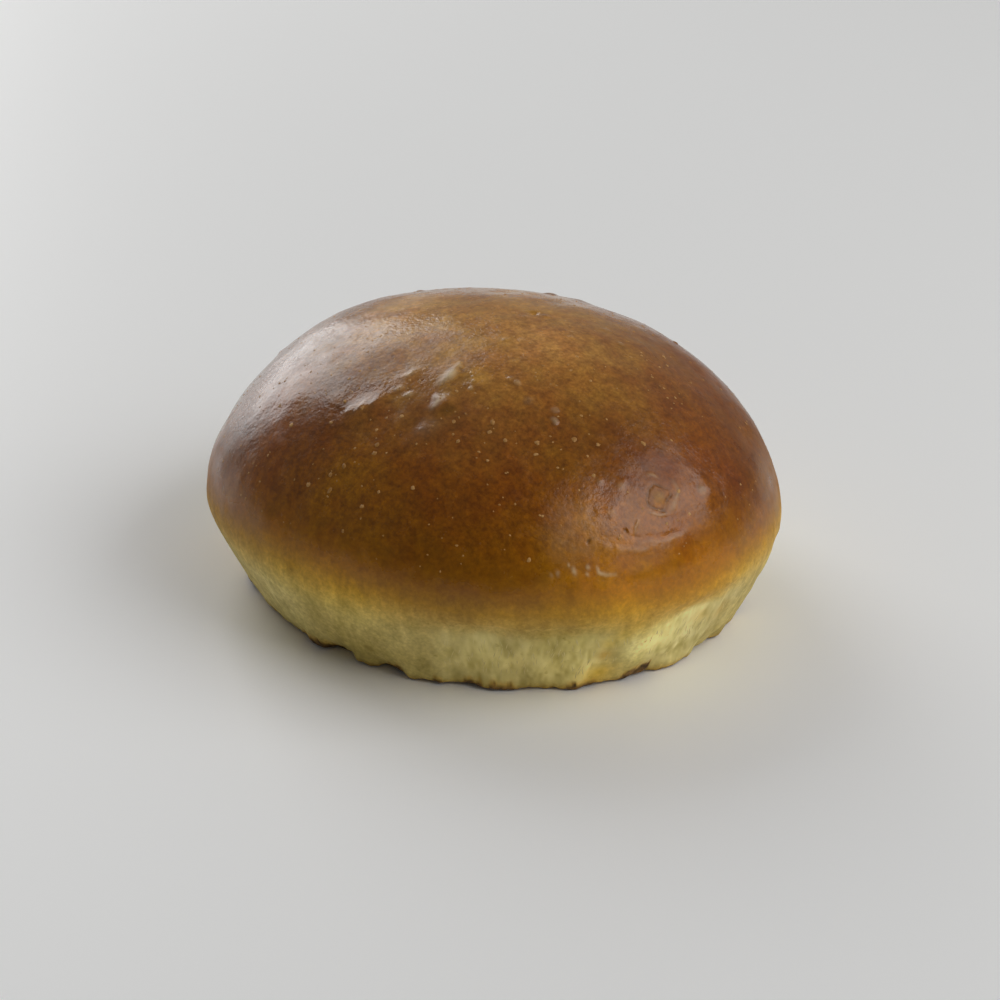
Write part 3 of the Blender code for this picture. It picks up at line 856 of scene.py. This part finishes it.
class Nodes:
    """The nodes of a material or the sky, and short ways to add the kinds used here."""

    def __init__(self, owner):
        owner.use_nodes = True
        self.tree = owner.node_tree

    def new(self, kind):
        return self.tree.nodes.new("ShaderNode" + kind)

    def feed(self, socket, value):
        """Link a socket, or set it to a number or a colour."""
        if isinstance(value, bpy.types.NodeSocket):
            self.tree.links.new(value, socket)
        else:
            socket.default_value = (*value, 1.0) if isinstance(value, tuple) else value

    def place(self, kind="Object"):
        return self.new("TexCoord").outputs[kind]

    def mask(self, name, output="Fac"):
        node = self.new("Attribute")
        node.attribute_name = name
        return node.outputs[output]

    def math(self, operation, *values, clamp=False):
        node = self.new("Math")
        node.operation = operation
        node.use_clamp = clamp
        for socket, value in zip(node.inputs, values):
            self.feed(socket, value)
        return node.outputs[0]

    def scaled(self, value, gain, offset, clamp=False):
        return self.math("MULTIPLY_ADD", value, gain, offset, clamp=clamp)

    def contrast(self, value, gain):
        """A noise that swings more widely round its middle."""
        return self.scaled(value, gain, 0.5 - gain / 2, clamp=True)

    def mix(self, share, first, second, blend="MIX"):
        node = self.new("Mix")
        node.data_type = "RGBA"
        node.blend_type = blend
        for number, value in ((0, share), (6, first), (7, second)):
            self.feed(node.inputs[number], value)
        return node.outputs[2]

    def ramp(self, share, stops):
        """A colour ramp with those (position, colour) stops, in rising order."""
        node = self.new("ValToRGB")
        elements = node.color_ramp.elements
        elements[0].position, elements[1].position = stops[0][0], stops[-1][0]
        for position, _ in stops[1:-1]:
            elements.new(position)
        for element, (_, colour) in zip(elements, stops):
            element.color = (*colour, 1.0)
        self.tree.links.new(share, node.inputs[0])
        return node.outputs[0]

    def noise(self, place, scale, detail=2.0, roughness=0.5):
        node = self.new("TexNoise")
        inputs = {"Vector": place, "Scale": scale, "Detail": detail, "Roughness": roughness}
        for name, value in inputs.items():
            self.feed(node.inputs[name], value)
        return node.outputs["Fac"]

    def bump(self, height, strength, distance, below=None):
        node = self.new("Bump")
        for name, value in {"Strength": strength, "Distance": distance, "Height": height}.items():
            self.feed(node.inputs[name], value)
        if below:
            self.tree.links.new(below, node.inputs["Normal"])
        return node.outputs[0]

    def mottled(self, place, colour, amount, layers):
        """The colour with layers of mottling, each between a darker and a brighter change."""
        for scale, detail, gain, dark, bright in layers:
            wander = self.contrast(self.noise(place, scale, detail, 0.6), gain)
            colour = self.mix(amount, colour, self.mix(wander, dark, bright), "MULTIPLY")
        return colour


def new_material(name):
    """A material, its nodes and its shader."""
    material = bpy.data.materials.new(name)
    nodes = Nodes(material)
    return material, nodes, nodes.tree.nodes["Principled BSDF"]


# Mottling of the crust, the grain of its pebbly skin and the streaks of the pale side: scale, detail and
# contrast of the noise, and the two colours that multiply what is below
MOTTLES = (
    (75, 3, 2.6, (0.86, 0.83, 0.82), (1.14, 1.17, 1.1)),
    (190, 3, 3, (0.95, 0.87, 0.86), (1.05, 1.13, 1.12)),
)
GRAINS = (
    (330, 3, 3, (0.9, 0.88, 0.86), (1.11, 1.13, 1.16)),
    (680, 3, 3.2, (0.8, 0.78, 0.76), (1.21, 1.23, 1.28)),
    (1500, 2, 3.2, (0.82, 0.8, 0.77), (1.18, 1.2, 1.25)),
)
STREAKS = (
    (420, 3, 2.8, (0.91, 0.9, 0.85), (1.08, 1.08, 1.12)),
    (130, 3, 2.8, (0.76, 0.73, 0.64), (1.2, 1.22, 1.3)),
)
STREAK_STRETCH = (1.0, 1.0, 0.3)

# Colour of the bake by height above the crust line, in millimetres, and how far its edge wanders
BAKE = (
    (-16, (0.56, 0.44, 0.13)),
    (-5, (0.62, 0.48, 0.155)),
    (-2, (0.58, 0.4, 0.105)),
    (0, (0.54, 0.325, 0.06)),
    (2, (0.44, 0.222, 0.018)),
    (4, (0.34, 0.145, 0.004)),
    (6, (0.28, 0.101, 0.001)),
    (9, (0.23, 0.0785, 0.0008)),
    (14, (0.2, 0.061, 0.0006)),
    (22, (0.208, 0.0585, 0.001)),
    (28, (0.245, 0.087, 0.011)),
    (31.5, (0.335, 0.142, 0.022)),
    (35, (0.42, 0.19, 0.032)),
)
BAKE_WANDER = 3.4

# Other colours. Those of specks, the painted shade of crevices and singed edges multiply what is below
# Rubbed glaze, which also paints highlight and sheen
RUBBED_AND_HIGHLIGHT_COLOUR = (0.72, 0.56, 0.33)
# Painted shade in grooves, pits and beside bubbles
PAINTED_SHADE_COLOUR = (0.075, 0.034, 0.004)
CRUMB_COLOURS = ((0.68, 0.56, 0.2), (0.83, 0.7, 0.295))
SPECK_COLOUR = (0.72, 0.68, 0.5)
CREVICE_SHADE_COLOUR = (0.68, 0.64, 0.46)
SINGED_COLOUR = (0.92, 0.7, 0.36)
BASE_COLOURS = ((0.06, 0.03, 0.007), (0.3, 0.16, 0.04))
BLISTER_COLOURS = ((0.35, 0.155, 0.022), (0.54, 0.285, 0.085))
SHRED_COLOURS = ((0.66, 0.53, 0.21), (0.82, 0.69, 0.32))
FLOOR_COLOUR = (0.93, 0.93, 0.92)

# Share of glaze at the crust line, and its growth with each millimetre above it
GLAZE_AT_LINE = 0.25
GLAZE_GROWTH = 0.09

# Roughness of bare crumb, how much less full glaze has, and what rubbed glaze and matt patches add
CRUMB_ROUGHNESS = 0.84
GLAZE_SHINE = -0.67
RUBBED_ROUGHNESS = 0.3
MATT_ROUGHNESS = 0.12


def bun_material():
    material, nodes, shader = new_material("baked_bun")
    place = nodes.place()
    tint_and_painted_light = nodes.mask("tint_and_painted_light", "Vector")
    pebbly = nodes.mask("pebbly")
    rubbed_and_highlight = nodes.mask("rubbed_and_highlight")

    # Browning from the pale side up to the full crust, with an uneven edge
    wander = nodes.noise(place, 190.0, 4.0, 0.6)
    uneven = nodes.scaled(wander, BAKE_WANDER, -BAKE_WANDER / 2)
    level = nodes.math("ADD", nodes.mask("above_line"), uneven)
    lowest, span = BAKE[0][0], BAKE[-1][0] - BAKE[0][0]
    share = nodes.scaled(level, 1 / span, -lowest / span, clamp=True)
    bake = nodes.ramp(share, [((rise - lowest) / span, colour) for rise, colour in BAKE])
    # Multiplied by the patches of colour, which are partly the bun's own and partly painted highlight, sheen
    # and shade
    colour = nodes.mix(1.0, bake, tint_and_painted_light, "MULTIPLY")

    # Cloudy patches on the crust, a grain where it is pebbly, rubbed glaze with painted highlight and sheen,
    # and painted shade in grooves, pits and beside bubbles
    glaze = nodes.scaled(level, GLAZE_GROWTH, GLAZE_AT_LINE, clamp=True)
    grainy = nodes.scaled(pebbly, 0.45, 0.56, clamp=True)
    colour = nodes.mottled(place, colour, glaze, MOTTLES)
    colour = nodes.mottled(place, colour, grainy, GRAINS)
    colour = nodes.mix(rubbed_and_highlight, colour, RUBBED_AND_HIGHLIGHT_COLOUR)
    colour = nodes.mix(nodes.mask("painted_shade"), colour, PAINTED_SHADE_COLOUR)

    # Torn crumb: whitish strands
    crumb = nodes.mix(nodes.mask("strand"), *CRUMB_COLOURS)
    # The same patches, with their painted highlight, sheen and shade, over the crumb
    crumb = nodes.mix(1.0, crumb, tint_and_painted_light, "MULTIPLY")
    colour = nodes.mix(nodes.mask("torn"), colour, crumb)

    # The pale side: soft streaks that run down it, a few greenish specks, and painted shade between the
    # strands and in the pores
    pale = nodes.math("SUBTRACT", 1.0, glaze)
    tall = nodes.new("Mapping")
    tall.inputs["Scale"].default_value = STREAK_STRETCH
    nodes.feed(tall.inputs["Vector"], place)
    colour = nodes.mottled(tall.outputs[0], colour, pale, STREAKS)
    specks = nodes.scaled(nodes.noise(place, 560.0, 2.0, 0.6), 9.0, -6.0, clamp=True)
    colour = nodes.mix(nodes.math("MULTIPLY", specks, pale), colour, SPECK_COLOUR, "MULTIPLY")
    colour = nodes.mix(nodes.mask("crevice_shade"), colour, CREVICE_SHADE_COLOUR, "MULTIPLY")

    # Brown crust of the base, with a singed edge above it
    colour = nodes.mix(nodes.mask("singed"), colour, SINGED_COLOUR, "MULTIPLY")
    base = nodes.mix(nodes.contrast(nodes.noise(place, 700.0, 3.0), 3.0), *BASE_COLOURS)
    colour = nodes.mix(nodes.mask("rim"), colour, base)
    nodes.feed(shader.inputs["Base Color"], colour)

    # The crust shines softly and in patches, the crumb is dull
    rough = nodes.scaled(glaze, GLAZE_SHINE, CRUMB_ROUGHNESS)
    rough = nodes.math("ADD", rough, nodes.mask("dull"))
    rough = nodes.scaled(rubbed_and_highlight, RUBBED_ROUGHNESS, rough)
    matt = nodes.scaled(nodes.noise(place, 300.0, 3.0, 0.6), 5.0, -2.3, clamp=True)
    nodes.feed(shader.inputs["Roughness"], nodes.scaled(matt, MATT_ROUGHNESS, rough))
    shader.inputs["Specular IOR Level"].default_value = 0.4

    # Fine bumps: pebbles, grain and pores
    pebbles = nodes.math("SUBTRACT", nodes.noise(place, 1300.0), 0.5)
    pebbles = nodes.math("MULTIPLY", pebbles, nodes.math("ADD", pebbly, 0.1))
    grain = nodes.noise(place, 3000.0, 2.0, 0.6)
    pores = nodes.new("TexVoronoi")
    pores.inputs["Scale"].default_value = 1000.0
    nodes.feed(pores.inputs["Vector"], place)
    pitted = nodes.math("MULTIPLY", pores.outputs["Distance"], 3.2, clamp=True)
    bumped = nodes.bump(pebbles, 0.5, 0.16 * MM)
    bumped = nodes.bump(grain, 0.4, 0.03 * MM, bumped)
    nodes.feed(shader.inputs["Normal"], nodes.bump(pitted, 0.3, 0.05 * MM, bumped))
    return material


def speckled_material(name, scale, detail, colours, roughness, specular):
    """A material that wanders between two colours, rougher where it is brighter."""
    material, nodes, shader = new_material(name)
    place = nodes.place()
    speckle = nodes.noise(place, scale, detail)
    nodes.feed(shader.inputs["Base Color"], nodes.mix(nodes.contrast(speckle, 3.0), *colours))
    nodes.feed(shader.inputs["Roughness"], nodes.scaled(speckle, 0.2, roughness))
    shader.inputs["Specular IOR Level"].default_value = specular
    return material, nodes, shader, place


def blister_material():
    """The crust's own brown, paler and freckled, where the glaze has bubbled."""
    return speckled_material("blistered_glaze", 500.0, 2.0, BLISTER_COLOURS, 0.52, 0.5)[0]


def shred_material():
    material, nodes, shader, place = speckled_material("torn_crumb", 350.0, 3.0, SHRED_COLOURS, 0.7, 0.3)
    nodes.feed(shader.inputs["Normal"], nodes.bump(nodes.noise(place, 2400.0), 0.4, 0.1 * MM))
    return material


def make_bun():
    """The bun, and its blisters and strands of crumb that sit on its surface."""
    points, faces, masks = shape_bun()
    mesh = new_mesh("brioche_bun", points.tolist(), faces)
    for name, values in masks.items():
        kind, field = ("FLOAT_VECTOR", "vector") if values.ndim == 2 else ("FLOAT", "value")
        attribute = mesh.attributes.new(name, kind, "POINT")
        attribute.data.foreach_set(field, values.astype(np.float32).ravel())
    mesh.shade_smooth()
    mesh.materials.append(bun_material())
    bun = add_object("brioche_bun", mesh)
    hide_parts("bun")
    tree = tree_of(points, faces)
    for piece in (bun, make_blisters(tree), make_shreds(tree)):
        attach(piece, "root")


# Camera: the photo's bun, seen from 26 degrees above level
CAMERA_AZIMUTH = 42.0
CAMERA_ELEVATION = 26.0
CAMERA_DISTANCE = 650 * MM
SENSOR_WIDTH = 36.0
SEEN_WIDTH = 183.7 * MM  # across the frame at the bun
AIM_RIGHT = 0.96 * MM  # from the middle of the bun, so that it sits as high in the frame as in the photo
AIM_DOWN = 8.49 * MM
BUN_MIDDLE = Vector((0.0, 0.0, 25 * MM))

# Strength of the sky straight above, and how much more it is straight behind the bun
SKY_MIDDLE = 0.175
SKY_SLOPE = 0.11

# Soft panels of light: bearing, elevation, width and height in metres, power
PANELS = (
    ("window_behind_left", -31, 24, 0.52, 0.82, 3.85),
    ("soft_box_right", 108, 40.5, 1, 0.54, 4.35),
    ("panel_above_right", 130, 57, 0.46, 0.36, 0.3),
    ("low_fill_right", 138, 15, 0.5, 0.26, 0.32),
)
PANEL_DISTANCE = 0.9
FLOOR_REACH = 6.0


def way_to(bearing, elevation):
    """A way from the bun. Bearing 0 is straight behind it and 90 to its right, as the camera sees it."""
    turn, rise = math.radians(CAMERA_AZIMUTH - bearing), math.radians(elevation)
    return Vector((-math.sin(turn) * math.cos(rise), math.cos(turn) * math.cos(rise), math.sin(rise)))


def point_along(thing, way):
    """Turn a camera or a light so that it looks that way."""
    thing.rotation_euler = way.to_track_quat("-Z", "Y").to_euler()


def make_camera():
    back, right = way_to(180.0, CAMERA_ELEVATION), way_to(90.0, 0.0)
    data = bpy.data.cameras.new("camera")
    data.sensor_width = SENSOR_WIDTH
    data.lens = SENSOR_WIDTH * CAMERA_DISTANCE / SEEN_WIDTH
    data.clip_start, data.clip_end = 0.05, 50.0
    camera = add_object("camera", data)
    camera.location = BUN_MIDDLE + back * CAMERA_DISTANCE
    aim = BUN_MIDDLE + right * AIM_RIGHT - back.cross(right) * AIM_DOWN
    point_along(camera, aim - camera.location)
    bpy.context.scene.camera = camera


def make_panels():
    for name, bearing, elevation, wide, high, power in PANELS:
        data = bpy.data.lights.new(name, "AREA")
        data.shape = "RECTANGLE"
        data.size, data.size_y, data.energy = wide, high, power
        light = add_object(name, data)
        way = way_to(bearing, elevation)
        light.location = BUN_MIDDLE + way * PANEL_DISTANCE
        point_along(light, -way)


def make_sky():
    """Soft light from all round, dimmer on the camera's side."""
    world = bpy.data.worlds.new("studio")
    nodes = Nodes(world)
    behind = nodes.new("VectorMath")
    behind.operation = "DOT_PRODUCT"
    nodes.feed(behind.inputs[0], nodes.place("Generated"))
    behind.inputs[1].default_value = way_to(0.0, 0.0)
    background = nodes.tree.nodes["Background"]
    background.inputs["Color"].default_value = (1.0, 1.0, 1.0, 1.0)
    strength = nodes.scaled(behind.outputs["Value"], SKY_SLOPE, SKY_MIDDLE)
    nodes.feed(background.inputs["Strength"], strength)
    bpy.context.scene.world = world


def make_floor():
    ends = (-FLOOR_REACH, FLOOR_REACH)
    corners = [(x, y, 0.0) for x in ends for y in ends]
    mesh = new_mesh("floor", corners, [(0, 2, 3, 1)])
    material, nodes, shader = new_material("pale_floor")
    nodes.feed(shader.inputs["Base Color"], FLOOR_COLOUR)
    nodes.feed(shader.inputs["Roughness"], 0.45)
    nodes.feed(shader.inputs["Specular IOR Level"], 0.4)
    mesh.materials.append(material)
    add_object("floor", mesh)


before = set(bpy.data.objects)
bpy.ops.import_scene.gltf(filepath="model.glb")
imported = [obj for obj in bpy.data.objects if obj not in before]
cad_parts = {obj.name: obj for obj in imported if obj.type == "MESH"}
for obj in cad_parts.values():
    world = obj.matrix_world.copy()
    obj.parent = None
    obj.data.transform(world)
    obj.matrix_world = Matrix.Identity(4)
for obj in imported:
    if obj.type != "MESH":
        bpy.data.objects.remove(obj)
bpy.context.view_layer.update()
make_camera()
make_bun()
make_floor()
make_sky()
make_panels()
bpy.context.scene.view_settings.view_transform = "Standard"
